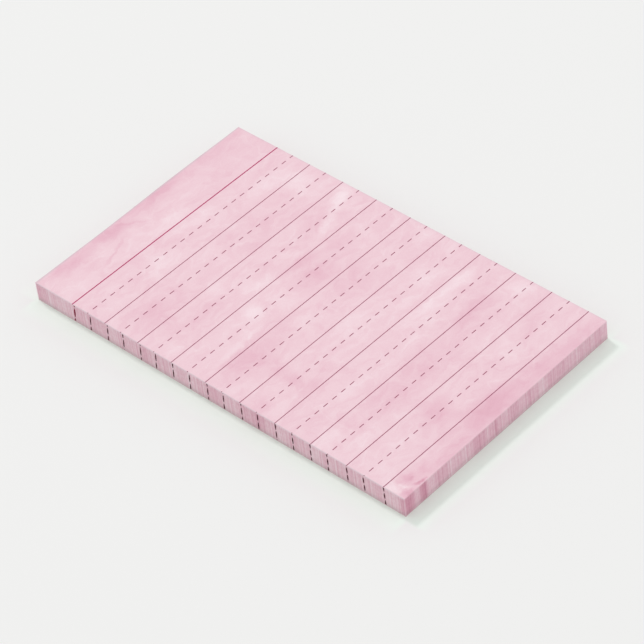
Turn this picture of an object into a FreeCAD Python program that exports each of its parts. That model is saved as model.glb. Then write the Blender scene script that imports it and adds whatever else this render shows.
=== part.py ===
import FreeCAD, Part
import os

import Sketcher

# A pad of ruled sticky notes, built the way the real one is: a stack of leaves that
# hold to each other only along a band of adhesive under the header edge, and a backing
# sheet that covers the adhesive of the lowest leaf. Away from the band the leaves lie
# loose, a hair apart, so each one can be lifted and peeled off. The ruling on the top
# leaf is a film of ink.
# Millimetres. X runs across the page, +Y points to the header edge, +Z is up.
# The origin is the middle of the underside.

document = FreeCAD.newDocument("sticky_note_pad")

DRIVING_SIZES = (
    ("sheet_width", 76.2, "leaf, side edge to side edge, 3 inches"),
    ("sheet_length", 127.0, "leaf, header edge to free edge, 5 inches"),
    ("sheet_thickness", 0.1, "paper of one leaf"),
    ("sheet_count", 50, "leaves in the pad"),
    ("adhesive_thickness", 0.015, "adhesive on the back of a leaf"),
    ("adhesive_band", 19.0, "adhesive, measured along the length"),
    ("adhesive_setback", 0.8, "bare strip between the header edge and the adhesive"),
    ("backing_thickness", 0.25, "backing sheet"),
    ("header_drop", 14.17, "header edge to the header rule"),
    ("header_rule_width", 0.3, "header rule, across its length"),
    ("rule_pitch", 11.85, "rule to rule, counted from the header rule"),
    ("rule_width", 0.2, "thin rule, across its length"),
    ("dash_lift", 0.28, "dashed line above the middle between two rules"),
    ("dash_width", 0.22, "dash, across its length"),
    ("dash_length", 1.55, "dash"),
    ("dash_pitch", 3.18, "start of one dash to the start of the next"),
    ("dash_start", 1.93, "left edge to the first whole dash"),
    ("print_lean", 0.68, "degrees by which the print leans from the cut edges"),
    ("ink_thickness", 0.02, "film of ink"),
)

sizes = document.addObject("Spreadsheet::Sheet", "sizes")
for row, (name, value, meaning) in enumerate(DRIVING_SIZES, start=1):
    sizes.set(f"A{row}", name)
    sizes.set(f"B{row}", str(value))
    sizes.set(f"C{row}", meaning)
    sizes.setAlias(f"B{row}", name)
document.recompute()

# Heights above the underside
ADHESIVE_UNDERSIDE = "sizes.backing_thickness"
LEAF_UNDERSIDE = "(sizes.backing_thickness + sizes.adhesive_thickness)"
LEAF_PITCH = "(sizes.sheet_thickness + sizes.adhesive_thickness)"
WRITTEN_FACE = f"(sizes.backing_thickness + sizes.sheet_count * {LEAF_PITCH})"
INK_TOP = f"({WRITTEN_FACE} + sizes.ink_thickness)"

# Places on the page, measured from its middle
HEADER_EDGE = "(sizes.sheet_length / 2)"
ADHESIVE_EDGE = f"({HEADER_EDGE} - sizes.adhesive_setback)"
HEADER_RULE_Y = f"({HEADER_EDGE} - sizes.header_drop)"
FIRST_RULE_Y = f"({HEADER_RULE_Y} - sizes.rule_pitch)"
FIRST_DASHES_Y = f"({HEADER_RULE_Y} - sizes.rule_pitch / 2 + sizes.dash_lift)"

# The dashes run off both side edges: the first one starts a pitch before the first
# whole dash, and as many follow as reach the right edge.
FIRST_DASH_X = (
    "(-sizes.sheet_width / 2 + sizes.dash_start - sizes.dash_pitch + sizes.dash_length / 2)"
)
DASHES_IN_A_ROW = "ceil((sizes.sheet_width - sizes.dash_start) / sizes.dash_pitch) + 1"
ROWS = "floor((sizes.sheet_length - sizes.header_drop) / sizes.rule_pitch)"

# The print runs past the side edges until it is trimmed, by a frame that is wider still.
OVERRUN = "(2 * sizes.dash_pitch)"
UNTRIMMED_WIDTH = f"(sizes.sheet_width + 2 * {OVERRUN})"
FRAME_WIDTH = f"({UNTRIMMED_WIDTH} + 2 * {OVERRUN})"
FRAME_LENGTH = "(sizes.sheet_length + 2 * sizes.rule_pitch)"

# In a pattern's list of spacings, this stands for the pattern's own offset.
COMMON_SPACING = -1.0


def new_body(node):
    """An empty body whose label is the piece's name."""
    body = document.addObject("PartDesign::Body", node)
    body.Label = node
    return body


def origin_feature(body, role):
    """One of the body's own base planes or axes."""
    return next(feature for feature in body.Origin.OriginFeatures if feature.Role == role)


def level_sketch(body, name, height, across="0", along="0", lean="0"):
    """An empty sketch level with the page.

    height, across and along place its origin over the middle of the underside, and
    lean turns it clockwise by so many degrees.
    """
    sketch = body.newObject("Sketcher::SketchObject", name)
    sketch.AttachmentSupport = [(origin_feature(body, "XY_Plane"), "")]
    sketch.MapMode = "FlatFace"
    sketch.setExpression(
        "AttachmentOffset",
        f"placement(vector({across}; {along}; {height}); rotation(vector(0; 0; 1); -({lean})))",
    )
    return sketch


def draw_rectangle(sketch, label, width, far_edge, depth):
    """A rectangle that lies the same to both sides of the sketch's upright axis.

    far_edge is how far its upper side lies above the sketch's origin, and depth its
    extent down from there.
    """
    right, top, extent = (
        float(sizes.evalExpression(expression))
        for expression in (f"{width} / 2", far_edge, depth)
    )
    bottom = top - extent
    corners = [
        FreeCAD.Vector(-right, bottom, 0),
        FreeCAD.Vector(right, bottom, 0),
        FreeCAD.Vector(right, top, 0),
        FreeCAD.Vector(-right, top, 0),
    ]
    sides = [
        sketch.addGeometry(Part.LineSegment(start, end), False)
        for start, end in zip(corners, corners[1:] + corners[:1])
    ]
    lower, right_side, upper, left_side = sides
    start_point, end_point = 1, 2
    origin_point = (-1, 1)
    upright_axis = -2
    for side, following in zip(sides, sides[1:] + sides[:1]):
        sketch.addConstraint(
            Sketcher.Constraint("Coincident", side, end_point, following, start_point)
        )
    sketch.addConstraint(Sketcher.Constraint("Horizontal", upper))
    sketch.addConstraint(Sketcher.Constraint("Vertical", right_side))
    sketch.addConstraint(Sketcher.Constraint("Vertical", left_side))
    sketch.addConstraint(
        Sketcher.Constraint("Symmetric", lower, start_point, lower, end_point, upright_axis)
    )
    driven = (
        ("width", "DistanceX", (lower, start_point, lower, end_point), 2 * right, width),
        ("far_edge", "DistanceY", (*origin_point, upper, start_point), top, far_edge),
        ("depth", "DistanceY", (right_side, start_point, right_side, end_point), extent, depth),
    )
    for role, kind, points, value, expression in driven:
        index = sketch.addConstraint(Sketcher.Constraint(kind, *points, value))
        sketch.renameConstraint(index, f"{label}_{role}")
        sketch.setExpression(f"Constraints.{label}_{role}", expression)


def raise_layer(body, name, sketch, thickness):
    """The sketch padded up to a layer of the given thickness."""
    layer = body.newObject("PartDesign::Pad", name)
    layer.Profile = sketch
    layer.setExpression("Length", thickness)
    document.recompute()
    return layer


def make_backing_sheet():
    """The plain sheet under the pad, cut to the same size as the leaves."""
    body = new_body("backing_sheet")
    outline = level_sketch(body, "backing_outline", "0")
    draw_rectangle(outline, "sheet", "sizes.sheet_width", HEADER_EDGE, "sizes.sheet_length")
    raise_layer(body, "backing", outline, "sizes.backing_thickness")
    return body


def make_note_sheets():
    """All the leaves: the lowest one with its adhesive, repeated up the stack."""
    body = new_body("note_sheets")
    band = level_sketch(body, "adhesive_outline", ADHESIVE_UNDERSIDE)
    draw_rectangle(band, "band", "sizes.sheet_width", ADHESIVE_EDGE, "sizes.adhesive_band")
    adhesive = raise_layer(body, "adhesive", band, "sizes.adhesive_thickness")
    outline = level_sketch(body, "leaf_outline", LEAF_UNDERSIDE)
    draw_rectangle(outline, "sheet", "sizes.sheet_width", HEADER_EDGE, "sizes.sheet_length")
    leaf = raise_layer(body, "leaf", outline, "sizes.sheet_thickness")

    stack = body.newObject("PartDesign::LinearPattern", "stack")
    stack.Originals = [adhesive, leaf]
    stack.Direction = (origin_feature(body, "Z_Axis"), [""])
    stack.Mode = "Spacing"
    stack.setExpression("Offset", LEAF_PITCH)
    stack.setExpression("Occurrences", "sizes.sheet_count")
    body.Tip = stack
    return body


def make_printed_ruling():
    """The header rule, the thin rules and the dashed lines, trimmed with the page."""
    body = new_body("printed_ruling")
    body.AllowCompound = True

    header_line = level_sketch(
        body, "header_line", WRITTEN_FACE, along=HEADER_RULE_Y, lean="sizes.print_lean"
    )
    draw_rectangle(
        header_line, "rule", UNTRIMMED_WIDTH, "sizes.header_rule_width / 2",
        "sizes.header_rule_width",
    )
    raise_layer(body, "header_rule", header_line, "sizes.ink_thickness")

    rule_line = level_sketch(
        body, "rule_line", WRITTEN_FACE, along=FIRST_RULE_Y, lean="sizes.print_lean"
    )
    draw_rectangle(
        rule_line, "rule", UNTRIMMED_WIDTH, "sizes.rule_width / 2", "sizes.rule_width"
    )
    rule = raise_layer(body, "thin_rule", rule_line, "sizes.ink_thickness")
    rules = body.newObject("PartDesign::LinearPattern", "thin_rules")
    rules.Originals = [rule]
    rules.Direction = (origin_feature(body, "Y_Axis"), [""])
    rules.Reversed = True
    rules.Mode = "Spacing"
    rules.setExpression("Offset", "sizes.rule_pitch")
    rules.setExpression("Occurrences", ROWS)
    body.Tip = rules

    first_dash_y = f"({FIRST_DASHES_Y} - {FIRST_DASH_X} * tan(sizes.print_lean * 1 deg))"
    dash_outline = level_sketch(
        body, "dash_outline", WRITTEN_FACE, FIRST_DASH_X, first_dash_y, "sizes.print_lean"
    )
    draw_rectangle(
        dash_outline, "dash", "sizes.dash_length", "sizes.dash_width / 2", "sizes.dash_width"
    )
    dash = raise_layer(body, "dash", dash_outline, "sizes.ink_thickness")
    dashes = body.newObject("PartDesign::LinearPattern", "dashed_lines")
    dashes.Originals = [dash]
    dashes.Direction = (dash_outline, ["H_Axis"])
    dashes.Mode = "Spacing"
    dashes.setExpression("Offset", "sizes.dash_pitch")
    dashes.setExpression("Occurrences", DASHES_IN_A_ROW)
    dashes.Direction2 = (origin_feature(body, "Y_Axis"), [""])
    dashes.Reversed2 = True
    dashes.Mode2 = "Spacing"
    dashes.Spacings2 = [COMMON_SPACING]
    dashes.setExpression("Offset2", "sizes.rule_pitch")
    dashes.setExpression("Occurrences2", ROWS)
    body.Tip = dashes
    document.recompute()

    # A frame round the page takes off what runs past the cut edges.
    frame = level_sketch(body, "trim_frame", INK_TOP)
    draw_rectangle(frame, "page", "sizes.sheet_width", HEADER_EDGE, "sizes.sheet_length")
    draw_rectangle(frame, "outside", FRAME_WIDTH, f"{FRAME_LENGTH} / 2", FRAME_LENGTH)
    trim = body.newObject("PartDesign::Pocket", "trim")
    trim.Profile = frame
    trim.setExpression("Length", "sizes.ink_thickness")
    body.Tip = trim
    document.recompute()
    if not trim.Shape.Volume < dashes.Shape.Volume:
        raise RuntimeError("the trim took nothing off the print")
    return body


pieces = [make_backing_sheet(), make_note_sheets(), make_printed_ruling()]
document.recompute()

for item in document.Objects:
    if "Invalid" in item.State or "Error" in item.State:
        raise RuntimeError(f"{item.Label} could not be computed: {item.State}")

os.makedirs("parts", exist_ok=True)
for piece in pieces:
    if piece.Shape.isNull() or not piece.Shape.isValid():
        raise RuntimeError(f"{piece.Label} has no valid solid")
    box = piece.Shape.BoundBox
    print(piece.Label, len(piece.Shape.Solids), "solids", round(piece.Shape.Volume, 3), "mm3",
          round(box.XLength, 4), round(box.YLength, 4), round(box.ZMin, 4), round(box.ZMax, 4))
for piece in pieces:
    piece.Shape.exportStep(f"parts/{piece.Label}.step")
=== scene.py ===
"""Pad of ruled sticky notes, printed in a soft mottled pink, on a pale table under soft light."""
import math
import random

import bpy
import bmesh
from mathutils import Matrix, Vector


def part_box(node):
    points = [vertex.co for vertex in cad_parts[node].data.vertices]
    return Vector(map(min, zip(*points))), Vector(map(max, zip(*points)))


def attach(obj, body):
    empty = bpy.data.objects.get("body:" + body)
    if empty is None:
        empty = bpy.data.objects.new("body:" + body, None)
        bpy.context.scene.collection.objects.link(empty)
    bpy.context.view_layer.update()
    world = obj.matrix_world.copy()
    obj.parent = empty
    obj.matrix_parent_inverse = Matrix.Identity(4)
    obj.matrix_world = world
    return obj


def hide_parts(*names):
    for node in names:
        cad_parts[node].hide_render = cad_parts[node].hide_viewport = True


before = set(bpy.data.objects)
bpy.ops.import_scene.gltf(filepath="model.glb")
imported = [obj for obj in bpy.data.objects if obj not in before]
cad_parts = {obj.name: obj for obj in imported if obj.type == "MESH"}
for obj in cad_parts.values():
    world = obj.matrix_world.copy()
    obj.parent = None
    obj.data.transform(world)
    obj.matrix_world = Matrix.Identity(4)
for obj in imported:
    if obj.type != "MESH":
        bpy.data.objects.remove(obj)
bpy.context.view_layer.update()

bl_info = {
    "name": "Sticky note pad",
    "version": (1, 0, 0),
    "blender": (4, 5, 0),
    "location": "View3D > Sidebar > Note pad",
    "description": "Makes a pad of ruled sticky notes and the table that it lies on",
    "category": "Object",
}

MM = 0.001
NOTES_LOW, NOTES_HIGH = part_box("note_sheets")

# Rows of the printed ruling, in millimetres up the page at the middle of its width
HEADER_RULE = 49.33
HEADER_INK_FROM = HEADER_RULE - 2.0
RULE_PITCH = 11.85
RULE_COUNT = 10
DASH_ROW_COUNT = 9
DASH_LIFT = 0.28
PRINT_LEAN = math.radians(0.68)

# Soft fields of the mottled print: what they are, middle across from the left edge and down
# from the header edge, reach across and down, how much deeper they are, and any turn in degrees
PRINT_FIELDS = (
    ("header strip", 38, 0.5, 46, 5, 20),
    ("header corner", 10, 2.5, 11, 4.5, 20),
    ("header left", 24.5, 2.5, 9, 4, 19, -12),
    ("header middle", 44, 1.5, 9.5, 4.2, 11),
    ("header right", 65, 3, 13, 5, 9),
    ("header right end", 73.5, 1.5, 5, 3.5, 16),
    ("header fold", 20.1, 8.7, 9.5, 0.85, 20, 19),
    ("header second fold", 31.6, 4.3, 7, 0.9, 15, -39),
    ("header slope", 58, 8, 9, 2, 8, -55),
    ("under the fold", 38, 11.5, 9, 5, -17),
    ("header pale left", 5, 10, 9, 5, -8),
    ("header pale middle", 26, 11, 10, 4, -5),
    ("first row pale", 24.5, 21.5, 9, 6, -17),
    ("first row left pale", 8, 21, 9, 6, -3, 10),
    ("first row middle", 43, 17, 12, 3.5, -11),
    ("first row right", 62, 22.5, 12, 4, -9),
    ("first row cap", 70, 17.5, 8, 3, 9),
    ("left cloud", 12, 33, 12.5, 9, 16, -8),
    ("left cloud foot", 20, 43.5, 12, 6, 12, -8),
    ("between clouds", 34, 31, 7, 8, -4),
    ("right cloud", 50, 32, 17, 7, 6),
    ("right cloud left", 45, 37, 6, 2.6, 9),
    ("right cloud foot", 62, 36.5, 6, 5, 6),
    ("right cloud tail", 59, 43, 8, 4.5, 12, 20),
    ("right edge pale", 69.5, 29, 6, 10, -18),
    ("middle pale", 50.5, 41.5, 6, 3.6, -2, 10),
    ("pool rim", 26, 40, 6, 6, -12),
    ("long pale streak", 63, 45.2, 13, 2.4, -18, 18),
    ("streak end", 72, 41.5, 7.5, 3.6, -23, 20),
    ("middle cloud top", 47, 50.5, 8, 3, 17, -5),
    ("cloud shoulder", 50, 45.5, 6.5, 2.5, 11, -40),
    ("middle cloud", 46, 57, 11, 8, 19),
    ("middle cloud right", 58, 54, 7, 6, 14),
    ("middle cloud foot", 50, 65.5, 13, 6, 8),
    ("middle cloud ring", 58, 66, 9, 5, -7),
    ("pale pool", 20, 54.5, 12, 6, -7, 12),
    ("pale spot", 26, 53.7, 5, 5, -24),
    ("pool inlet", 35, 48.3, 8, 3, -18, 12),
    ("pool bridge", 31, 45, 5, 5, -7, 35),
    ("pool outlet", 33, 56, 5, 6, -12),
    ("pool left", 4, 46.5, 6, 6, -9, -40),
    ("middle crease", 45.5, 53.2, 7, 0.9, -6, -24),
    ("left pale crease", 14, 59, 16, 1.8, -17, 3),
    ("lower left cloud", 14, 64, 18, 7, 18),
    ("left cloud gap", 15, 64.5, 2.2, 6, -3, 20),
    ("left column", 14.5, 72, 4, 12, 13),
    ("column knot", 13.8, 78, 3.4, 3.4, 16),
    ("column foot", 15.5, 83.5, 6.5, 4.4, 16, -12),
    ("column tail", 21.5, 82, 6, 1.6, 5, -45),
    ("left edge deep", 2.5, 77.5, 5.5, 5, 13),
    ("left edge pale", 6, 82.8, 7, 2.6, -5, 12),
    ("left edge notch", 3.5, 69, 6, 2.4, -8, -12),
    ("centre pale", 38.5, 75.5, 9, 5.5, -10),
    ("centre wash", 40, 78, 24, 8, -3),
    ("centre right wash", 60, 80, 14, 6, -12),
    ("centre upper", 33, 67, 6, 5, -5),
    ("right edge low pale", 74, 69.5, 6, 4, -16),
    ("pale band", 55, 88, 19, 4, -17, -2),
    ("pale band end", 67, 87.6, 7.5, 3.2, -17),
    ("pale band low", 48, 92.5, 16, 4, -8, -4),
    ("low left wisp", 22, 92.3, 13, 2.8, -9, -6),
    ("low left pale", 4.5, 99, 8, 4.5, -15),
    ("low cloud", 38, 101, 36, 8, 12, -2),
    ("low cloud right", 62, 99, 8, 5, 10, 20),
    ("low cloud left", 22, 102, 11, 5.5, 7),
    ("low cloud ridge", 57.5, 97.5, 11, 3, 17, 10),
    ("low right pale", 73, 103, 6.5, 8, -13),
    ("low left wash", 8, 106, 10, 5, -9),
    ("foot pale left", 9, 115, 13, 9, -7),
    ("foot column", 26.3, 114.5, 6.5, 8, 24, 20),
    ("foot pale right", 53, 114, 6.5, 5.5, -9),
    ("foot right", 64, 113, 10, 3.4, 10, 22),
    ("foot strip", 46, 125, 44, 6, 20),
    ("foot cloud", 37, 122.5, 15, 6, 25),
    ("foot right end", 70, 126, 10, 4, 13),
    ("foot left", 17, 126.5, 12, 4, 17),
    ("corner pool", 2.3, 127, 3.2, 2.8, 54),
    ("corner edge pale", 1.2, 122.8, 2.6, 3.4, -16),
    ("corner streak", 3.5, 124.4, 0.9, 4.6, -20, 14),
    ("corner comma", 6.9, 126.5, 2.2, 0.85, 62, -9),
    ("corner comma tail", 5.5, 126, 1.2, 0.8, 34, -40),
    ("corner smudge", 6, 123.4, 3.4, 2.8, 28, -20),
    ("corner smudge spot", 6.4, 124.1, 1.2, 0.9, 20, -35),
    ("corner smudge left", 3.3, 122.3, 1.1, 1.1, 13),
    ("corner right wash", 10.5, 124.2, 3.2, 2.6, 20),
)

# Soft fields that show on the cut edges only, given in the same way: first the free end's,
# from the left corner on, then the left side's, from the free end up
EDGE_FIELDS = (
    ("corner pink", 1.6, 127, 2.6, 1.4, 28),
    ("pale streak", 4.3, 127, 0.8, 1, -6),
    ("patch start", 5.6, 127, 0.9, 1, 20),
    ("patch", 6.9, 127, 1.5, 1, 58),
    ("patch rim", 7.75, 127, 0.6, 1, 30),
    ("narrow streak", 12.5, 127, 1, 1, 14),
    ("pale part", 19.5, 127, 5.5, 1, -16),
    ("deep part", 27.2, 127, 3.2, 1, 24),
    ("dark streak", 33.5, 127, 0.9, 1, 22),
    ("second streak", 46.5, 127, 0.8, 1, 16),
    ("pale notch", 51.4, 127, 2.4, 1, -20),
    ("third streak", 53.5, 127, 0.8, 1, 16),
    ("far pale part", 64.5, 127, 5, 1, -12),
    ("corner pink", 0, 126.6, 1, 1.5, 30),
    ("lilac part", 0, 123, 1, 3.4, -12),
    ("deep part", 0, 79, 1, 7, 16),
    ("pale part", 0, 71, 1, 3, -16),
    ("second deep part", 0, 62, 1, 7, 8),
    ("middle pale part", 0, 31, 1, 7, -8),
    ("third deep part", 0, 17, 1, 4, 10),
)

# Pale breaks in each printed row's mark down the left side, header rule first, in
# millimetres below the top leaf
MARK_BREAKS = (
    (0.9, 4.6), (0.5, 4.2), (1.0, 3.8), (1.8, 5.2), (0.9, 4.5), (3.2, 5.9), (2.0, 5.5),
    (0.4, 3.6), (1.4, 4.4), (0.6, 3.6), (1.2, 4.4), (0.2, 3.0, 6.0), (2.4, 5.2), (1.1, 3.9),
    (1.8, 4.3), (1.4, 4.1), (0.4, 3.0, 5.4), (0.5, 3.0, 5.5), (1.7, 4.1),
)
MARK_GAP = 0.3
MARK_PITCH = 3.3
FIRST_BREAK = (0.3, 2.6)  # where the right side's first breaks fall, least and most
MARK_LEAN = 0.052  # how far a mark moves up the page for each millimetre down the side
LEAN_GROWTH = 0.0013  # and how much more for each millimetre that its row lies up the page
LEAN_CENTRE = 3.0
MARK_JITTER = 0.05
MARK_TIP = 0.04  # share of a stroke's length that is too thin to draw
MARK_ROUNDNESS = 0.6
HEADER_MARK_GAIN = 1.5
INK_PROUD = 0.012
INK_SUNK = 0.05
# How far up the page each row's mark lies from its rule's end, in millimetres
MARK_SHIFTS = (
    -0.4, -0.55, -0.6, -0.6, -0.6, -0.4, -0.3, -0.45, -0.45, -0.35, -0.3, -0.2, -0.15,
    -0.05, 0.2, 0.25, 0.1, 0.25, -0.15,
)

# Noise textures by their node's name: scale for each millimetre, detail, and any roughness
# and distortion that aren't Blender's own
NOISES = {
    "wide push": (0.11, 2),
    "fine push": (0.5, 2),
    "clouds": (0.085, 3, 0.55),
    "wisps": (0.33, 4, 0.6, 0.6),
    "where creased": (0.09, 1),
    "grain": (2.6, 4, 0.75),
    "felt": (1.6, 5, 0.7),
    "fibres": (1.1, 3, 0.6, 0.8),
    "fine streaks": (2, 3, 0.75),
    "marbling": (1.1, 3, 0.65),
    "broad streaks": (0.3, 1),
    "formation": (0.35, 4, 0.6),
    "uneven cover": (1.7, 3, 0.6),
}

# Ranges by their node's name: a value from the first to the second becomes the third to the
# fourth, or 0 to 1. Depths of print are in screen levels, distances in millimetres.
RANGES = {
    "soft edge": (0, 1),
    "cloud depth": (0.25, 0.75, -4, 10),
    "wisp depth": (0.25, 0.75, -11, 11),
    "crease line": (0, 0.045, 1, 0),
    "only in part": (0.5, 0.66),
    "grain depth": (0.25, 0.75, -6.5, 6.5),
    "pale to middle": (-26, 0),
    "middle to deep": (0, 30),
    "deep to blot": (30, 104),
    "felt roughness": (0.2, 0.8, 0.72, 0.9),
    "fine depth": (0.28, 0.72, -36, 36),
    "marbling depth": (0.3, 0.7, -12, 12),
    "broad depth": (0.25, 0.75, -10, 10),
    # Painted highlight at the top of the cut edges, and painted shade at their foot
    "painted top highlight": (5.3, 5.95, 0, 0.26),
    "foot": (0.25, 1.9, 0.3, 0),
    "lit by the table": (0.2, 1.1, 0.75, 0),
    "formation shade": (0.25, 0.75),
    "close to a side": (0.5, 8, 1, 0),
    "close to an end": (3, 8, 1, 0),
    "not off a corner": (0, 1.8, 1, 0),
    "where the shadow lies": (-2, 4, 1, 0.35),
}
INK_COVER = (0.3, 0.7)
INK_ROUGHNESS = (0.62, 0.8)
INK_SHINE = 0.1
RULING_THINNEST = 0.1
EDGE_THINNEST = 0.01

NOISE_MIDDLE = (0.5, 0.5, 0.5)
WIDE_PUSH = (13.0, 9.0, 0.0)
FINE_PUSH = (2.4, 2.4, 0.0)
BRUSHING = (0.6, 1.25, 0.0)
CREASE_SCALE = 0.06
CREASE_DEPTH = -7.0
FIBRE_DRAW = (1.0, 4.5, 4.5)
FELT_SHARE = 0.65
PAPER_IOR = 1.45
PRINT_RELIEF = (0.35, 0.05 * MM)
BACKING_RELIEF = (0.4, 0.06 * MM)
BACKING_FINENESS = 0.7
FORMATION_SHADE = 0.9

# Painted light on the cut edges, in linear light: painted shade on the long sides and the ends, a
# painted highlight and painted foot shade
SIDE_PAINTED_SHADE = (0.925, 0.88, 0.9, 1.0)
END_PAINTED_SHADE = (0.975, 0.95, 0.972, 1.0)
RIM_HIGHLIGHT = (1.0, 0.93, 0.95, 1.0)
FOOT_PAINTED_SHADE = (0.4, 0.34, 0.35, 1.0)
# Millimetres in from a corner where its painted highlight starts and is full, and how strong it is
CORNER_HIGHLIGHT = (0.4, 0.1, 0.3)
END_REACH = 0.3
# The same for the painted shade along the top leaf's rims, after the page axis and side that each lies
# on, with how dark it is
RIM_SHADES = (("Across", -1, 0.4, 0.1, 0.6), ("Across", 1, 0.55, 0.2, 0.2), ("Up", 1, 0.85, 0.4, 0.5))

# The header edge's inward waves: how many across the page, where they start, how much of the
# depth is theirs, and how many ripples share the rest
HEADER_WAVES = (1.46, 0.02, 0.9, 5.0)
LEAST_INSET = 0.6
AT_HEADER = 0.999
LEAF_SEED = 7
MARK_SEED = 11

# Places in the texture maps: left, right, bottom and top
TOP_LEAF_STRIPS = tuple((0.63, 0.99, 0.66 + 0.08 * side, 0.72 + 0.08 * side) for side in range(4))
TOP_LEAF_CAPS = ((0.63, 0.96, 0.05, 0.6), (0.005, 0.605, 0.0, 1.0))
STACK_LEFT = 0.005
STACK_LONG = 0.98
STACK_ROWS = ((0.01, 0.23), (0.26, 0.48), (0.51, 0.73), (0.76, 0.98))
STACK_CAPS = ((0.62, 0.98, 0.01, 0.23), (0.62, 0.98, 0.51, 0.73))
LIP_SHARE = 0.12  # a groove's lip or wall in the map, as a share of a leaf's edge

SENSOR_WIDTH = 36.0
CLIP_RANGE = (0.01, 50.0)
LAMP_DIRECTION = Vector((0.11, 0.56, 0.82)).normalized()
LAMP_REACH = 6.0
LAMP_SIZE = 0.95
TABLE_REACH = 3.0
TABLE_CELLS = 8
TABLE_ROUGHNESS = 0.95

VECTOR = "NodeSocketVector"
FLOAT = "NodeSocketFloat"
COLOUR = "NodeSocketColor"
# A Mix node's sockets when it mixes colours, which share their names with others
MIX_INPUTS = (0, 6, 7)
MIX_RESULT = 2


def linear(red, green, blue):
    """A colour as it looks on a screen, from 0 to 255, turned into linear light."""
    shades = []
    for part in (red, green, blue):
        part = part / 255.0
        shades.append(part / 12.92 if part <= 0.04045 else ((part + 0.055) / 1.055) ** 2.4)
    return tuple(shades)


def length_property(name, description, default):
    return bpy.props.FloatProperty(
        name=name, description=description, default=default, min=0.0, precision=5, unit="LENGTH"
    )


def colour_property(name, description, default):
    return bpy.props.FloatVectorProperty(
        name=name, description=description, default=default, size=3, min=0.0, max=1.0,
        subtype="COLOR",
    )


def angle_property(name, description, degrees):
    return bpy.props.FloatProperty(
        name=name, description=description, default=math.radians(degrees), subtype="ANGLE"
    )


class PadSizes(bpy.types.PropertyGroup):
    """Sizes of the pad's leaves and of the marks on them."""

    page_width: length_property("Page width", "Width of a leaf", NOTES_HIGH.x - NOTES_LOW.x)
    page_length: length_property("Page length", "Length of a leaf", NOTES_HIGH.y - NOTES_LOW.y)
    leaf_count: bpy.props.IntProperty(
        name="Leaves", description="Leaves in the pad", default=50, min=2, max=200
    )
    leaf_thickness: length_property("Leaf thickness", "Thickness of one leaf", 0.1 * MM)
    groove_depth: length_property("Groove depth", "How far the gaps between leaves are open", 0.05 * MM)
    leaf_scatter: length_property("Leaf scatter", "How unevenly the leaves are cut", 0.03 * MM)
    header_wave: length_property("Header wave", "How far the glued edge waves inward", 0.24 * MM)
    stroke_width: length_property("Mark width", "Width of the ink marks on the cut edges", 0.44 * MM)


class PadColours(bpy.types.PropertyGroup):
    """Colours of the paper, the print and the table, with a painted shade for the top leaf's rim and a
    painted tint for the table by the pad.
    """

    pale_print: colour_property("Pale print", "Palest pink of the print", linear(247, 226, 232))
    middle_print: colour_property("Print", "Usual pink of the print", linear(240, 207, 216))
    deep_print: colour_property("Deep print", "Deeper pink of the print", linear(231, 184, 199))
    blot_print: colour_property("Blots", "Deepest pink of the print", linear(205, 130, 155))
    header_ink: colour_property("Header ink", "Ink of the header rule", linear(176, 6, 92))
    rule_ink: colour_property("Rule ink", "Ink of the rules and dashes", linear(148, 64, 94))
    edge_ink: colour_property("Edge ink", "Ink on the cut edges", linear(72, 10, 34))
    header_edge_ink: colour_property(
        "Header edge ink", "Header rule's ink on the cut edges", linear(126, 4, 50)
    )
    # Painted shade for the top leaf's rim
    rim_shade: colour_property("Painted shade on the rim", "Rim of the top leaf", linear(208, 192, 200))
    backing: colour_property("Backing paper", "Plain sheet under the pad", linear(222, 194, 199))
    table: colour_property("Table", "Table top", linear(240, 240, 239))
    # Painted light for the table close to the pad
    painted_tint_near_pad: colour_property("Painted tint by the pad", "Table close to the pad", linear(240, 251, 243))


class StudioSettings(bpy.types.PropertyGroup):
    """The camera and the lights."""

    azimuth: angle_property("Azimuth", "Camera's direction round the pad", -42.136)
    elevation: angle_property("Elevation", "Camera's height above the table", 43.125)
    roll: angle_property("Roll", "Camera's turn about its own axis", -7.83)
    distance: length_property("Distance", "From the camera to the pad", 843.985 * MM)
    side_step: length_property("Side step", "Camera moved to its own right", 1.023 * MM)
    step_down: length_property("Step down", "Camera moved down in its own picture", 0.874 * MM)
    lens: bpy.props.FloatProperty(
        name="Lens", description="Focal length in millimetres", default=185.92, min=1.0
    )
    room_light: bpy.props.FloatProperty(
        name="Room light", description="Even light from all sides", default=0.84, min=0.0
    )
    lamp_light: bpy.props.FloatProperty(
        name="Lamp light", description="Soft lamp's share of the light on the table",
        default=0.166625, min=0.0,
    )


def settings():
    scene = bpy.context.scene
    return scene.note_pad_sizes, scene.note_pad_colours, scene.note_pad_studio


# Shader nodes


def add_node(tree, kind, label, **values):
    """A new node with its settings made."""
    node = tree.nodes.new(kind)
    node.label = label
    for name, value in values.items():
        setattr(node, name, value)
    return node


def feed(tree, socket, value):
    """Joins a socket to another one, or sets it to a plain value."""
    if isinstance(value, bpy.types.NodeSocket):
        tree.links.new(value, socket)
    else:
        socket.default_value = value


def calculate(tree, operation, label, *values, kind="Math", output="Value"):
    node = add_node(tree, "ShaderNode" + kind, label, operation=operation)
    for socket, value in zip(node.inputs, values):
        feed(tree, socket, value)
    return node.outputs[output]


def calculate_vector(tree, operation, label, *values):
    return calculate(tree, operation, label, *values, kind="VectorMath", output="Vector")


def scale_vector(tree, label, vector, amount):
    node = add_node(tree, "ShaderNodeVectorMath", label, operation="SCALE")
    feed(tree, node.inputs[0], vector)
    feed(tree, node.inputs["Scale"], amount)
    return node.outputs["Vector"]


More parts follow.
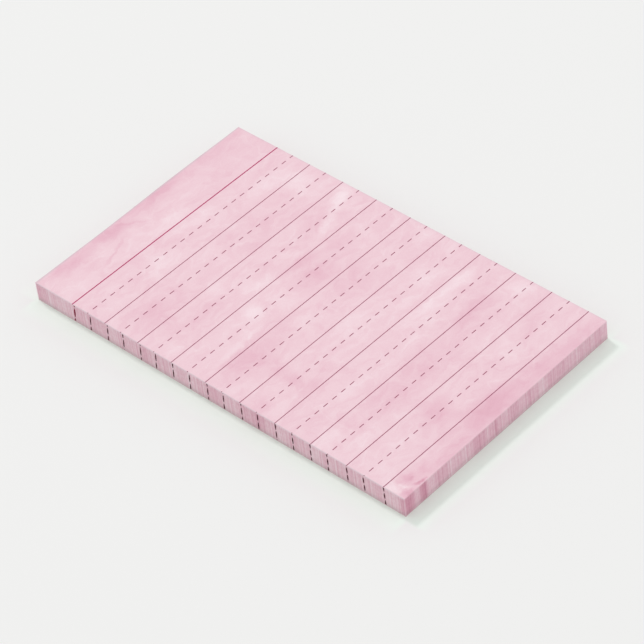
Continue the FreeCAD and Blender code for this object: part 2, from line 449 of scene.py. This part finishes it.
def rescale(tree, label, value, limits=None, smooth=False):
    """Value moved from one range to another, held at the ends; RANGES has those not given."""
    kind = "SMOOTHSTEP" if smooth else "LINEAR"
    node = add_node(tree, "ShaderNodeMapRange", label, interpolation_type=kind, clamp=True)
    feed(tree, node.inputs["Value"], value)
    for name, limit in zip(("From Min", "From Max", "To Min", "To Max"), limits or RANGES[label]):
        feed(tree, node.inputs[name], limit)
    return node.outputs["Result"]


def noise(tree, label, vector, output="Fac"):
    """A noise texture with the settings that NOISES gives for its name."""
    node = add_node(tree, "ShaderNodeTexNoise", label, noise_dimensions="3D")
    feed(tree, node.inputs["Vector"], vector)
    for name, setting in zip(("Scale", "Detail", "Roughness", "Distortion"), NOISES[label]):
        feed(tree, node.inputs[name], setting)
    return node.outputs[output]


def mix_colours(tree, label, factor, first, second, blend="MIX"):
    node = add_node(tree, "ShaderNodeMix", label, data_type="RGBA", blend_type=blend)
    for index, value in zip(MIX_INPUTS, (factor, first, second)):
        feed(tree, node.inputs[index], value)
    return node.outputs[MIX_RESULT]


def opaque(colour):
    return (*colour, 1.0)


def start_group(name, inputs, outputs):
    """An empty shader node group with its sockets, and its two end nodes."""
    group = bpy.data.node_groups.new(name, "ShaderNodeTree")
    for way, sockets in (("INPUT", inputs), ("OUTPUT", outputs)):
        for label, kind in sockets:
            group.interface.new_socket(label, in_out=way, socket_type=kind)
    return group, group.nodes.new("NodeGroupInput"), group.nodes.new("NodeGroupOutput")


def use_group(tree, name, maker, label=None, **values):
    """Places a node group, made when first used; each value goes to the socket of that name."""
    group = bpy.data.node_groups.get(name) or maker()
    node = add_node(tree, "ShaderNodeGroup", label or name, node_tree=group)
    for name, value in values.items():
        feed(tree, node.inputs[name.capitalize()], value)
    return node


def soft_field_group():
    """A soft oval field, 1 in its middle and 0 outside its reach."""
    group, given, result = start_group(
        "Soft field",
        (
            ("Point", VECTOR), ("Middle", VECTOR), ("Turn", VECTOR), ("Reach", VECTOR),
            ("Depth", FLOAT),
        ),
        (("Depth", FLOAT),),
    )
    place = add_node(group, "ShaderNodeMapping", "place", vector_type="TEXTURE")
    for name, source in (
        ("Vector", "Point"), ("Location", "Middle"), ("Rotation", "Turn"), ("Scale", "Reach"),
    ):
        feed(group, place.inputs[name], given.outputs[source])
    fall = add_node(group, "ShaderNodeTexGradient", "fall off", gradient_type="SPHERICAL")
    feed(group, fall.inputs["Vector"], place.outputs["Vector"])
    soft = rescale(group, "soft edge", fall.outputs["Fac"], smooth=True)
    depth = calculate(group, "MULTIPLY", "depth", soft, given.outputs["Depth"])
    feed(group, result.inputs["Depth"], depth)
    return group


def page_point_group():
    """Millimetres across and up the page for a point on the pad, flattened to the page."""
    group, _, result = start_group(
        "Page point",
        (),
        (("Page", VECTOR), ("Point", VECTOR), ("Across", FLOAT), ("Up", FLOAT), ("Height", FLOAT)),
    )
    place = add_node(group, "ShaderNodeTexCoord", "place on the pad")
    metric = scale_vector(group, "millimetres", place.outputs["Object"], 1.0 / MM)
    parts = add_node(group, "ShaderNodeSeparateXYZ", "parts")
    feed(group, parts.inputs[0], metric)
    page = calculate_vector(group, "MULTIPLY", "flatten", metric, (1.0, 1.0, 0.0))
    feed(group, result.inputs["Page"], page)
    feed(group, result.inputs["Point"], metric)
    for name, part in (("Across", "X"), ("Up", "Y"), ("Height", "Z")):
        feed(group, result.inputs[name], parts.outputs[part])
    return group


def half_page():
    """Half the page's width and half its length, in millimetres."""
    sizes, _, _ = settings()
    return sizes.page_width / MM / 2.0, sizes.page_length / MM / 2.0


def add_fields(group, point, fields, total):
    """Adds a table of soft fields to a depth."""
    half_width, half_length = half_page()
    for name, across, down, reach_across, reach_down, depth, *turn in fields:
        field = use_group(
            group, "Soft field", soft_field_group, name,
            point=point,
            middle=(across - half_width, half_length - down, 0.0),
            turn=(0.0, 0.0, math.radians(sum(turn))),
            reach=(reach_across, reach_down, 1.0),
            depth=depth,
        )
        total = calculate(group, "ADD", "add " + name, total, field.outputs["Depth"])
    return total


def mottled_print_group():
    """The print's soft clouds, creases and grain, as one colour over the page."""
    group, given, result = start_group(
        "Mottled print",
        (
            ("Page", VECTOR), ("Pale", COLOUR), ("Middle", COLOUR), ("Deep", COLOUR),
            ("Blot", COLOUR), ("Extra", FLOAT),
        ),
        (("Color", COLOUR),),
    )
    page = given.outputs["Page"]
    pushes = []
    for label, amount in (("wide push", WIDE_PUSH), ("fine push", FINE_PUSH)):
        push = noise(group, label, page, "Color")
        push = calculate_vector(group, "SUBTRACT", "centre", push, NOISE_MIDDLE)
        pushes.append(calculate_vector(group, "MULTIPLY", "how far", push, amount))
    pushed = calculate_vector(group, "ADD", "pushed", page, pushes[1])
    cloud_place = calculate_vector(group, "ADD", "cloud place", pushed, pushes[0])

    total = add_fields(group, pushed, PRINT_FIELDS, given.outputs["Extra"])
    brushed = calculate_vector(group, "MULTIPLY", "brushed across", cloud_place, BRUSHING)
    for label, depth_label, place in (
        ("clouds", "cloud depth", cloud_place), ("wisps", "wisp depth", brushed)
    ):
        depth = rescale(group, depth_label, noise(group, label, place))
        total = calculate(group, "ADD", "with " + label, total, depth)

    creases = add_node(
        group, "ShaderNodeTexVoronoi", "creases", feature="DISTANCE_TO_EDGE",
        voronoi_dimensions="2D",
    )
    feed(group, creases.inputs["Vector"], cloud_place)
    feed(group, creases.inputs["Scale"], CREASE_SCALE)
    crease = rescale(group, "crease line", creases.outputs["Distance"], smooth=True)
    part = rescale(group, "only in part", noise(group, "where creased", page), smooth=True)
    crease = calculate(group, "MULTIPLY", "broken crease", crease, part)
    total = calculate(group, "MULTIPLY_ADD", "with creases", crease, CREASE_DEPTH, total)

    grain = rescale(group, "grain depth", noise(group, "grain", page))
    total = calculate(group, "ADD", "with grain", total, grain)

    colour = given.outputs["Pale"]
    for label, target in (
        ("pale to middle", "Middle"), ("middle to deep", "Deep"), ("deep to blot", "Blot")
    ):
        share = rescale(group, label, total)
        colour = mix_colours(group, target.lower(), share, colour, given.outputs[target])
    feed(group, result.inputs["Color"], colour)
    return group


def paper_tooth_group():
    """Fine felt marks of uncoated paper, as a height and a roughness."""
    group, given, result = start_group(
        "Paper tooth",
        (("Point", VECTOR), ("Fineness", FLOAT)),
        (("Height", FLOAT), ("Roughness", FLOAT)),
    )
    point = scale_vector(group, "fineness", given.outputs["Point"], given.outputs["Fineness"])
    felt = noise(group, "felt", point)
    drawn = calculate_vector(group, "MULTIPLY", "drawn out", point, FIBRE_DRAW)
    fibres = noise(group, "fibres", drawn)
    height = calculate(group, "MULTIPLY_ADD", "felt and fibres", felt, FELT_SHARE, fibres)
    rough = rescale(group, "felt roughness", felt)
    feed(group, result.inputs["Height"], height)
    feed(group, result.inputs["Roughness"], rough)
    return group


def cut_edge_group():
    """Painted light on the stack's sides: painted shade over them, painted highlights at the corners and
    along the top, and painted shade at the foot.
    """
    group, given, result = start_group(
        "Cut edge",
        (("Across", FLOAT), ("Up", FLOAT), ("Height", FLOAT), ("Color", COLOUR)),
        (("Color", COLOUR),),
    )
    height = given.outputs["Height"]
    # Painted highlight down the corners, where the two cut faces meet
    start, full, highlight_strength = CORNER_HIGHLIGHT
    corner = highlight_strength
    for name, half in zip(("Across", "Up"), half_page()):
        past = calculate(group, "ABSOLUTE", "from the middle", given.outputs[name])
        near = rescale(group, "near a cut", past, (half - start, half - full, 0, 1), smooth=True)
        corner = calculate(group, "MULTIPLY", "painted corner highlight", near, corner)
    # The loop ends with the page's length, so past and half are now those of the two ends
    on_end = calculate(group, "GREATER_THAN", "on an end", past, half - END_REACH)
    # Painted highlight along the top of the sides
    rim = rescale(group, "painted top highlight", height, smooth=True)
    pale = calculate(group, "MAXIMUM", "painted highlights", rim, corner)
    # Painted shade over the cut edges, stronger on the long sides than on the ends
    shade = mix_colours(group, "shade", on_end, SIDE_PAINTED_SHADE, END_PAINTED_SHADE)
    shaded = mix_colours(
        group, "painted shade on the edges", 1.0, given.outputs["Color"], shade, blend="MULTIPLY"
    )
    # Painted shade at the foot, less of it low on the ends, where the table lights them
    foot = rescale(group, "foot", height, smooth=True)
    lit = rescale(group, "lit by the table", height, smooth=True)
    lit = calculate(group, "MULTIPLY", "on an end only", lit, on_end)
    unlit = calculate(group, "SUBTRACT", "not lit", 1.0, lit)
    foot = calculate(group, "MULTIPLY", "less there", foot, unlit)
    colour = mix_colours(group, "painted rim highlight", pale, shaded, RIM_HIGHLIGHT)
    colour = mix_colours(group, "painted foot shade", foot, colour, FOOT_PAINTED_SHADE)
    feed(group, result.inputs["Color"], colour)
    return group


def streak_depth_group():
    """Upright streaks round the stack, deeper and paler by turns, and its few broad stains."""
    group, given, result = start_group(
        "Edge streaks", (("Page", VECTOR), ("Point", VECTOR)), (("Depth", FLOAT),)
    )
    page = given.outputs["Page"]
    depth = 0.0
    for label, depth_label, place in (
        ("fine streaks", "fine depth", page), ("broad streaks", "broad depth", page),
        ("marbling", "marbling depth", given.outputs["Point"]),
    ):
        part = rescale(group, depth_label, noise(group, label, place))
        depth = calculate(group, "ADD", "with " + label, depth, part)
    depth = add_fields(group, page, EDGE_FIELDS, depth)
    feed(group, result.inputs["Depth"], depth)
    return group


def new_material(name):
    """A material with one Principled shader."""
    material = bpy.data.materials.new(name)
    material.use_nodes = True
    tree = material.node_tree
    tree.nodes.clear()
    shader = add_node(tree, "ShaderNodeBsdfPrincipled", "surface")
    shader.inputs["IOR"].default_value = PAPER_IOR
    out = add_node(tree, "ShaderNodeOutputMaterial", "output")
    tree.links.new(shader.outputs["BSDF"], out.inputs["Surface"])
    return material, tree, shader


def add_tooth(tree, shader, point, fineness, relief):
    """Gives a paper its tooth, as roughness and as relief of some strength and depth."""
    tooth = use_group(tree, "Paper tooth", paper_tooth_group, point=point, fineness=fineness)
    feed(tree, shader.inputs["Roughness"], tooth.outputs["Roughness"])
    bump = add_node(tree, "ShaderNodeBump", "relief")
    bump.inputs["Strength"].default_value, bump.inputs["Distance"].default_value = relief
    feed(tree, bump.inputs["Height"], tooth.outputs["Height"])
    feed(tree, shader.inputs["Normal"], bump.outputs["Normal"])


def shade_leaf_rims(tree, page, colour):
    """Paints shade on a leaf's outermost fraction of a millimetre, where its cut edge catches less
    light.
    """
    halves = dict(zip(("Across", "Up"), half_page()))
    rim = 0.0
    for axis, sign, start, full, darkness in RIM_SHADES:
        limits = (sign * (halves[axis] - start), sign * (halves[axis] - full), 0, darkness)
        part = rescale(tree, "one rim", page.outputs[axis], limits)
        rim = calculate(tree, "MAXIMUM", "rims", rim, part)
    _, colours, _ = settings()
    return mix_colours(tree, "painted rim shade", rim, colour, opaque(colours.rim_shade))


def printed_paper(name, with_edges):
    """Note paper with the mottled print; with_edges adds the streaks that show on the stack's sides and
    their painted light, and without it the top leaf's rim gets painted shade.
    """
    _, colours, _ = settings()
    material, tree, shader = new_material(name)
    page = use_group(tree, "Page point", page_point_group)
    point = page.outputs["Point"]
    extra = 0.0
    if with_edges:
        streaks = use_group(
            tree, "Edge streaks", streak_depth_group, page=page.outputs["Page"], point=point
        )
        extra = streaks.outputs["Depth"]
    pattern = use_group(
        tree, "Mottled print", mottled_print_group,
        page=page.outputs["Page"],
        pale=opaque(colours.pale_print),
        middle=opaque(colours.middle_print),
        deep=opaque(colours.deep_print),
        blot=opaque(colours.blot_print),
        extra=extra,
    )
    colour = pattern.outputs["Color"]
    if with_edges:
        edge = use_group(
            tree, "Cut edge", cut_edge_group,
            across=page.outputs["Across"], up=page.outputs["Up"],
            height=page.outputs["Height"], color=colour,
        )
        colour = edge.outputs["Color"]
    else:
        # The top leaf's rim gets painted shade
        colour = shade_leaf_rims(tree, page, colour)
    feed(tree, shader.inputs["Base Color"], colour)
    add_tooth(tree, shader, point, 1.0, PRINT_RELIEF)
    return material


def plain_paper(name, colour):
    """Uncoated backing paper with faint clouding and tooth."""
    material, tree, shader = new_material(name)
    page = use_group(tree, "Page point", page_point_group)
    point = page.outputs["Point"]
    shade = rescale(tree, "formation shade", noise(tree, "formation", point))
    darker = tuple(part * FORMATION_SHADE for part in colour)
    mixed = mix_colours(tree, "clouded", shade, opaque(darker), opaque(colour))
    feed(tree, shader.inputs["Base Color"], mixed)
    add_tooth(tree, shader, point, BACKING_FINENESS, BACKING_RELIEF)
    return material


def ink(name, rule_colour, header_colour, thinnest):
    """Printed ink, a little uneven, with the header rule in its own colour."""
    material, tree, shader = new_material(name)
    shader.inputs["Specular IOR Level"].default_value = INK_SHINE
    page = use_group(tree, "Page point", page_point_group)
    lean = calculate(
        tree, "MULTIPLY_ADD", "level with the print", page.outputs["Across"],
        math.tan(PRINT_LEAN), page.outputs["Up"],
    )
    in_header = calculate(tree, "GREATER_THAN", "header rule", lean, HEADER_INK_FROM)
    colour = mix_colours(tree, "ink", in_header, opaque(rule_colour), opaque(header_colour))
    cover = noise(tree, "uneven cover", page.outputs["Page"])
    cover = rescale(tree, "cover", cover, INK_COVER + (0, thinnest))
    _, colours, _ = settings()
    colour = mix_colours(tree, "thin ink", cover, colour, opaque(colours.middle_print))
    feed(tree, shader.inputs["Base Color"], colour)
    rough = rescale(tree, "roughness", cover, (0, thinnest) + INK_ROUGHNESS)
    feed(tree, shader.inputs["Roughness"], rough)
    return material


# Meshes


# Steps along the free end, right side, header edge and left side
SIDE_STEPS = (24, 30, 36, 30)


def side_segments():
    """Each segment's side and its two fractions along that side."""
    return [
        (side, step / steps, (step + 1) / steps)
        for side, steps in enumerate(SIDE_STEPS) for step in range(steps)
    ]


def header_inset(fraction, amount):
    """How far the glued header edge lies inward, by the fraction across the page."""
    waves, start, share, ripples = HEADER_WAVES
    wave = 0.5 - 0.5 * math.cos(2.0 * math.pi * (fraction * waves + start))
    ripple = math.sin(math.pi * fraction * ripples) ** 2
    return amount * (share * wave + (1.0 - share) * ripple)


def leaf_outline(sizes, insets):
    """Points round a leaf, seen from above against the clock, from the free end's left corner.

    insets are how far the free end, right side, header edge and left side lie inward."""
    low_x = -sizes.page_width / 2.0 + insets[3]
    high_x = sizes.page_width / 2.0 - insets[1]
    low_y = -sizes.page_length / 2.0 + insets[0]
    high_y = sizes.page_length / 2.0 - insets[2]
    corners = ((low_x, low_y), (high_x, low_y), (high_x, high_y), (low_x, high_y))
    points = []
    for side, part, _ in side_segments():
        start = corners[side]
        end = corners[(side + 1) % 4]
        x = start[0] + (end[0] - start[0]) * part
        y = start[1] + (end[1] - start[1]) * part
        fraction = (x - low_x) / (high_x - low_x)
        if (y - low_y) / (high_y - low_y) > AT_HEADER:
            y -= header_inset(fraction, sizes.header_wave)
        points.append((x, y))
    return points


class ClosedBlock:
    """A closed mesh of stacked rings with a texture map of four upright strips and two caps."""

    def __init__(self, name, strips, caps):
        self.name = name
        self.strips = strips
        self.caps = caps
        self.mesh = bmesh.new()
        self.map = self.mesh.loops.layers.uv.new("OFBake")
        self.rings = []
        self.climb = []

    def ring(self, outline, height, climb):
        """Adds a ring of points; climb is how far up the map's strips it lies, 0 to 1."""
        self.rings.append([self.mesh.verts.new((x, y, height)) for x, y in outline])
        self.climb.append(climb)

    def close(self):
        segments = side_segments()
        for level in range(len(self.rings) - 1):
            lower = self.rings[level]
            upper = self.rings[level + 1]
            for index, (side, first, last) in enumerate(segments):
                follow = (index + 1) % len(segments)
                face = self.mesh.faces.new((lower[index], lower[follow], upper[follow], upper[index]))
                left, right, bottom, top = self.strips[side]
                low = bottom + (top - bottom) * self.climb[level]
                high = bottom + (top - bottom) * self.climb[level + 1]
                start = left + (right - left) * first
                end = left + (right - left) * last
                spots = ((start, low), (end, low), (end, high), (start, high))
                for loop, spot in zip(face.loops, spots):
                    loop[self.map].uv = spot
        for ring, cap, upside in zip((self.rings[0], self.rings[-1]), self.caps, (True, False)):
            points = list(reversed(ring)) if upside else ring
            face = self.mesh.faces.new(points)
            left, right, bottom, top = cap
            xs = [vert.co.x for vert in ring]
            ys = [vert.co.y for vert in ring]
            for loop in face.loops:
                across = (loop.vert.co.x - min(xs)) / (max(xs) - min(xs))
                up = (loop.vert.co.y - min(ys)) / (max(ys) - min(ys))
                if upside:
                    across = 1.0 - across
                loop[self.map].uv = (left + (right - left) * across, bottom + (top - bottom) * up)
        return finish_mesh(self.name, self.mesh)


def add_object(name, data):
    thing = bpy.data.objects.new(name, data)
    bpy.context.scene.collection.objects.link(thing)
    return thing


def finish_mesh(name, shape):
    data = bpy.data.meshes.new(name)
    shape.to_mesh(data)
    shape.free()
    return data


def add_piece(name, data, material):
    """Puts a finished mesh in the scene as a piece that rides on the pad."""
    piece = add_object(name, data)
    data.materials.append(material)
    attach(piece, "root")
    return piece


def leaf_heights(sizes):
    """Bottom and top of each leaf's paper."""
    low = NOTES_LOW.z
    pitch = (NOTES_HIGH.z - low) / sizes.leaf_count
    return [
        (low + pitch * (index + 1) - sizes.leaf_thickness, low + pitch * (index + 1))
        for index in range(sizes.leaf_count)
    ]


def leaf_insets(sizes):
    """How unevenly each leaf's four sides are cut; the top leaf is full size."""
    chance = random.Random(LEAF_SEED)
    rows = [
        [sizes.leaf_scatter * (LEAST_INSET + chance.random()) for _ in range(4)]
        for _ in range(sizes.leaf_count - 1)
    ]
    return rows + [[0.0] * 4]


def make_top_leaf():
    sizes, _, _ = settings()
    low, high = leaf_heights(sizes)[-1]
    outline = leaf_outline(sizes, (0.0, 0.0, 0.0, 0.0))
    block = ClosedBlock("top_leaf", TOP_LEAF_STRIPS, TOP_LEAF_CAPS)
    block.ring(outline, low, 0.0)
    block.ring(outline, high, 1.0)
    paper = printed_paper("Printed top leaf", False)
    piece = add_piece("top_leaf", block.close(), paper)
    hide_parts("note_sheets")


def make_leaf_stack():
    sizes, _, _ = settings()
    heights = leaf_heights(sizes)
    insets = leaf_insets(sizes)
    lower_leaves = sizes.leaf_count - 1
    strips = []
    for side, (bottom, top) in enumerate(STACK_ROWS):
        length = STACK_LONG * (1.0 if side % 2 else sizes.page_width / sizes.page_length)
        strips.append((STACK_LEFT, STACK_LEFT + length, bottom, top))
    block = ClosedBlock("leaf_stack", strips, STACK_CAPS)
    total = lower_leaves * (1.0 + 3.0 * LIP_SHARE) + LIP_SHARE
    climb = 0.0
    below = NOTES_LOW.z
    for index in range(lower_leaves):
        low, high = heights[index]
        edge = leaf_outline(sizes, insets[index])
        inner = leaf_outline(sizes, [inset + sizes.groove_depth for inset in insets[index]])
        for outline, height, step in (
            (inner, below, LIP_SHARE), (inner, low, LIP_SHARE), (edge, low, 1.0), (edge, high, LIP_SHARE)
        ):
            block.ring(outline, height, climb / total)
            climb += step
        below = high
    block.ring(inner, high, climb / total)
    block.ring(inner, heights[-1][0], (climb + LIP_SHARE) / total)
    paper = printed_paper("Printed leaf edges", True)
    piece = add_piece("leaf_stack", block.close(), paper)
    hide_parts("note_sheets")


def row_heights():
    """Every printed row, header rule first, in millimetres up the page."""
    rules = [HEADER_RULE - RULE_PITCH * index for index in range(RULE_COUNT)]
    dashes = [rule - RULE_PITCH / 2.0 + DASH_LIFT for rule in rules[:DASH_ROW_COUNT]]
    return sorted(rules + dashes, reverse=True)


def mark_strokes(breaks):
    """A row's ink strokes down a side, as millimetres below the top, between its pale breaks."""
    ends = [breaks[0] - MARK_PITCH] + list(breaks) + [breaks[-1] + MARK_PITCH]
    return [(high + MARK_GAP / 2.0, low - MARK_GAP / 2.0) for high, low in zip(ends, ends[1:])]


def add_stroke(shape, rings):
    """A closed strip of ink through rings of four points."""
    rows = [[shape.verts.new(point) for point in ring] for ring in rings]
    for lower, upper in zip(rows, rows[1:]):
        for index in range(4):
            follow = (index + 1) % 4
            shape.faces.new((lower[index], lower[follow], upper[follow], upper[index]))
    shape.faces.new(list(reversed(rows[0])))
    shape.faces.new(rows[-1])


def make_ruling_ends():
    """Ink that shows where each printed row reaches the long sides, leaf by leaf."""
    sizes, colours, _ = settings()
    heights = leaf_heights(sizes)
    insets = leaf_insets(sizes)
    chance = random.Random(MARK_SEED)
    shape = bmesh.new()
    for direction, inset_index in ((-1.0, 3), (1.0, 1)):
        for number, row in enumerate(row_heights()):
            middle = row * MM - direction * sizes.page_width / 2.0 * math.tan(PRINT_LEAN)
            lean = MARK_LEAN + LEAN_GROWTH * row
            breaks = MARK_BREAKS[number]
            if direction > 0.0:
                first = chance.uniform(*FIRST_BREAK)
                breaks = (first, first + MARK_PITCH)
            for top, bottom in mark_strokes(breaks):
                shift = MARK_SHIFTS[number] + chance.uniform(-MARK_JITTER, MARK_JITTER)
                rings = []
                for index in range(sizes.leaf_count - 1):
                    low, high = heights[index]
                    below = (NOTES_HIGH.z - (low + high) / 2.0) / MM
                    part = (below - top) / (bottom - top)
                    if not MARK_TIP < part < 1.0 - MARK_TIP:
                        continue
                    half = sizes.stroke_width * math.sin(math.pi * part) ** MARK_ROUNDNESS / 2.0
                    if number == 0:
                        half *= HEADER_MARK_GAIN
                    centre = middle + (shift + lean * (below - LEAN_CENTRE)) * MM
                    side = direction * (sizes.page_width / 2.0 - insets[index][inset_index])
                    inside = side - direction * INK_SUNK * MM
                    outside = side + direction * INK_PROUD * MM
                    for height in (low, high):
                        rings.append((
                            (inside, centre - half, height), (outside, centre - half, height),
                            (outside, centre + half, height), (inside, centre + half, height),
                        ))
                if rings:
                    add_stroke(shape, rings)
    bmesh.ops.recalc_face_normals(shape, faces=shape.faces)
    material = ink(
        "Ink on the cut edges", colours.edge_ink, colours.header_edge_ink, EDGE_THINNEST
    )
    add_piece("ruling_ends", finish_mesh("ruling_ends", shape), material)


def dress(node, material):
    """Gives a part of the frame its finish."""
    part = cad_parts[node]
    if not part.material_slots:
        part.data.materials.append(material)
    for slot in part.material_slots:
        slot.material = material


def make_camera(studio):
    """The camera, aimed from its direction round the pad, its height and its roll."""
    back = Vector((
        math.sin(studio.azimuth) * math.cos(studio.elevation),
        -math.cos(studio.azimuth) * math.cos(studio.elevation),
        math.sin(studio.elevation),
    ))
    level = Vector((0.0, 0.0, 1.0)).cross(back).normalized()
    upright = back.cross(level)
    right = level * math.cos(studio.roll) + upright * math.sin(studio.roll)
    up = upright * math.cos(studio.roll) - level * math.sin(studio.roll)
    place = back * studio.distance + right * studio.side_step - up * studio.step_down
    data = bpy.data.cameras.new("Camera")
    data.lens = studio.lens
    data.sensor_width = SENSOR_WIDTH
    data.clip_start, data.clip_end = CLIP_RANGE
    camera = add_object("Camera", data)
    camera.matrix_world = Matrix((
        (right.x, up.x, back.x, place.x),
        (right.y, up.y, back.y, place.y),
        (right.z, up.z, back.z, place.z),
        (0.0, 0.0, 0.0, 1.0),
    ))
    bpy.context.scene.camera = camera


def make_world(studio, colours):
    """Even room light, with the table's colour where the world itself is seen."""
    world = bpy.data.worlds.new("Room")
    world.use_nodes = True
    tree = world.node_tree
    tree.nodes.clear()
    light = add_node(tree, "ShaderNodeBackground", "room light")
    light.inputs["Color"].default_value = (1.0, 1.0, 1.0, 1.0)
    light.inputs["Strength"].default_value = studio.room_light
    seen = add_node(tree, "ShaderNodeBackground", "seen wall")
    seen.inputs["Color"].default_value = opaque(colours.table)
    ray = add_node(tree, "ShaderNodeLightPath", "kind of ray")
    shown = ray.outputs["Is Camera Ray"]
    for kind in ("Is Glossy Ray", "Is Transmission Ray"):
        shown = calculate(tree, "MAXIMUM", "seen in any way", shown, ray.outputs[kind])
    mix = add_node(tree, "ShaderNodeMixShader", "which")
    for socket, source in zip(mix.inputs, (shown, light.outputs[0], seen.outputs[0])):
        feed(tree, socket, source)
    out = add_node(tree, "ShaderNodeOutputWorld", "output")
    feed(tree, out.inputs["Surface"], mix.outputs[0])
    bpy.context.scene.world = world


def make_lamp(studio):
    """One large soft lamp, high on the header edge's side."""
    data = bpy.data.lights.new("Lamp", "AREA")
    data.shape = "DISK"
    data.size = LAMP_SIZE
    data.energy = studio.lamp_light / LAMP_DIRECTION.z * (math.pi * LAMP_REACH) ** 2
    lamp = add_object("Lamp", data)
    lamp.location = LAMP_DIRECTION * LAMP_REACH
    lamp.rotation_euler = LAMP_DIRECTION.to_track_quat("Z", "Y").to_euler()


def make_table(sizes, colours):
    """A pale, matt table top, painted greener and lighter close to the pad, most where its shadow lies,
    where the pad's pink paper lights it.
    """
    shape = bmesh.new()
    bmesh.ops.create_grid(
        shape, x_segments=TABLE_CELLS, y_segments=TABLE_CELLS, size=TABLE_REACH
    )
    data = finish_mesh("table", shape)
    table = add_object("table", data)
    material, tree, shader = new_material("Pale table")
    shader.inputs["Roughness"].default_value = TABLE_ROUGHNESS
    shader.inputs["Specular IOR Level"].default_value = 0.0
    page = use_group(tree, "Page point", page_point_group)
    near = 1.0
    past = []
    beyond_lit = []
    for name, label, half in zip(
        ("Across", "Up"), ("close to a side", "close to an end"), half_page()
    ):
        both = calculate(tree, "ABSOLUTE", "from the middle", page.outputs[name])
        past.append(calculate(tree, "SUBTRACT", "past the pad", both, half))
        beyond_lit.append(calculate(tree, "SUBTRACT", "past a lit side", page.outputs[name], half))
        close = rescale(tree, label, past[-1], smooth=True)
        near = calculate(tree, "MULTIPLY", "close to the pad", close, near)
    corner = calculate(tree, "MINIMUM", "off a corner", *past)
    far = calculate(tree, "MAXIMUM", "past the lit sides", *beyond_lit)
    for label, place in (("not off a corner", corner), ("where the shadow lies", far)):
        share = rescale(tree, label, place, smooth=True)
        near = calculate(tree, "MULTIPLY", label, near, share)
    # Painted light: greener, lighter table colour close to the pad, strongest in its shadow
    colour = mix_colours(tree, "table", near, opaque(colours.table), opaque(colours.painted_tint_near_pad))
    feed(tree, shader.inputs["Base Color"], colour)
    data.materials.append(material)


class NOTEPAD_OT_stage(bpy.types.Operator):
    """Makes the table, the light and the camera"""

    bl_idname = "notepad.make_stage"
    bl_label = "Make the stage"

    def execute(self, context):
        sizes, colours, studio = settings()
        context.scene.view_settings.view_transform = "Standard"
        make_camera(studio)
        make_world(studio, colours)
        make_lamp(studio)
        make_table(sizes, colours)
        return {"FINISHED"}


class NOTEPAD_OT_top_leaf(bpy.types.Operator):
    """Makes the printed leaf on top of the pad"""

    bl_idname = "notepad.make_top_leaf"
    bl_label = "Make the top leaf"

    def execute(self, context):
        make_top_leaf()
        return {"FINISHED"}


class NOTEPAD_OT_leaf_stack(bpy.types.Operator):
    """Makes the leaves under the top one, with their cut edges"""

    bl_idname = "notepad.make_leaf_stack"
    bl_label = "Make the leaf stack"

    def execute(self, context):
        make_leaf_stack()
        return {"FINISHED"}


class NOTEPAD_OT_ruling_ends(bpy.types.Operator):
    """Makes the ink marks where the ruling reaches the long sides"""

    bl_idname = "notepad.make_ruling_ends"
    bl_label = "Make the ruling's ends"

    def execute(self, context):
        make_ruling_ends()
        return {"FINISHED"}


class NOTEPAD_OT_ruling(bpy.types.Operator):
    """Inks the header rule, the rules and the dashes on the top leaf"""

    bl_idname = "notepad.ink_ruling"
    bl_label = "Ink the ruling"

    def execute(self, context):
        _, colours, _ = settings()
        dress(
            "printed_ruling",
            ink("Ruling ink", colours.rule_ink, colours.header_ink, RULING_THINNEST),
        )
        return {"FINISHED"}


class NOTEPAD_OT_backing(bpy.types.Operator):
    """Finishes the plain sheet under the pad"""

    bl_idname = "notepad.finish_backing"
    bl_label = "Finish the backing sheet"

    def execute(self, context):
        _, colours, _ = settings()
        dress("backing_sheet", plain_paper("Backing paper", tuple(colours.backing)))
        return {"FINISHED"}


OPERATORS = (
    NOTEPAD_OT_stage,
    NOTEPAD_OT_top_leaf,
    NOTEPAD_OT_leaf_stack,
    NOTEPAD_OT_ruling_ends,
    NOTEPAD_OT_ruling,
    NOTEPAD_OT_backing,
)


class NOTEPAD_PT_panel(bpy.types.Panel):
    """Lists the pad's sizes, colours and steps."""

    bl_label = "Sticky note pad"
    bl_idname = "NOTEPAD_PT_panel"
    bl_space_type = "VIEW_3D"
    bl_region_type = "UI"
    bl_category = "Note pad"

    def draw(self, context):
        layout = self.layout
        for group in settings():
            box = layout.box()
            for name in group.__annotations__:
                box.prop(group, name)
        for operator in OPERATORS:
            layout.operator(operator.bl_idname)


CLASSES = (PadSizes, PadColours, StudioSettings) + OPERATORS + (NOTEPAD_PT_panel,)


def register():
    for item in CLASSES:
        bpy.utils.register_class(item)
    bpy.types.Scene.note_pad_sizes = bpy.props.PointerProperty(type=PadSizes)
    bpy.types.Scene.note_pad_colours = bpy.props.PointerProperty(type=PadColours)
    bpy.types.Scene.note_pad_studio = bpy.props.PointerProperty(type=StudioSettings)


def unregister():
    del bpy.types.Scene.note_pad_studio
    del bpy.types.Scene.note_pad_colours
    del bpy.types.Scene.note_pad_sizes
    for item in reversed(CLASSES):
        bpy.utils.unregister_class(item)


def main():
    register()
    bpy.ops.notepad.make_stage()
    bpy.ops.notepad.make_top_leaf()
    bpy.ops.notepad.make_leaf_stack()
    bpy.ops.notepad.make_ruling_ends()
    bpy.ops.notepad.ink_ruling()
    bpy.ops.notepad.finish_backing()


if __name__ == "__main__":
    main()
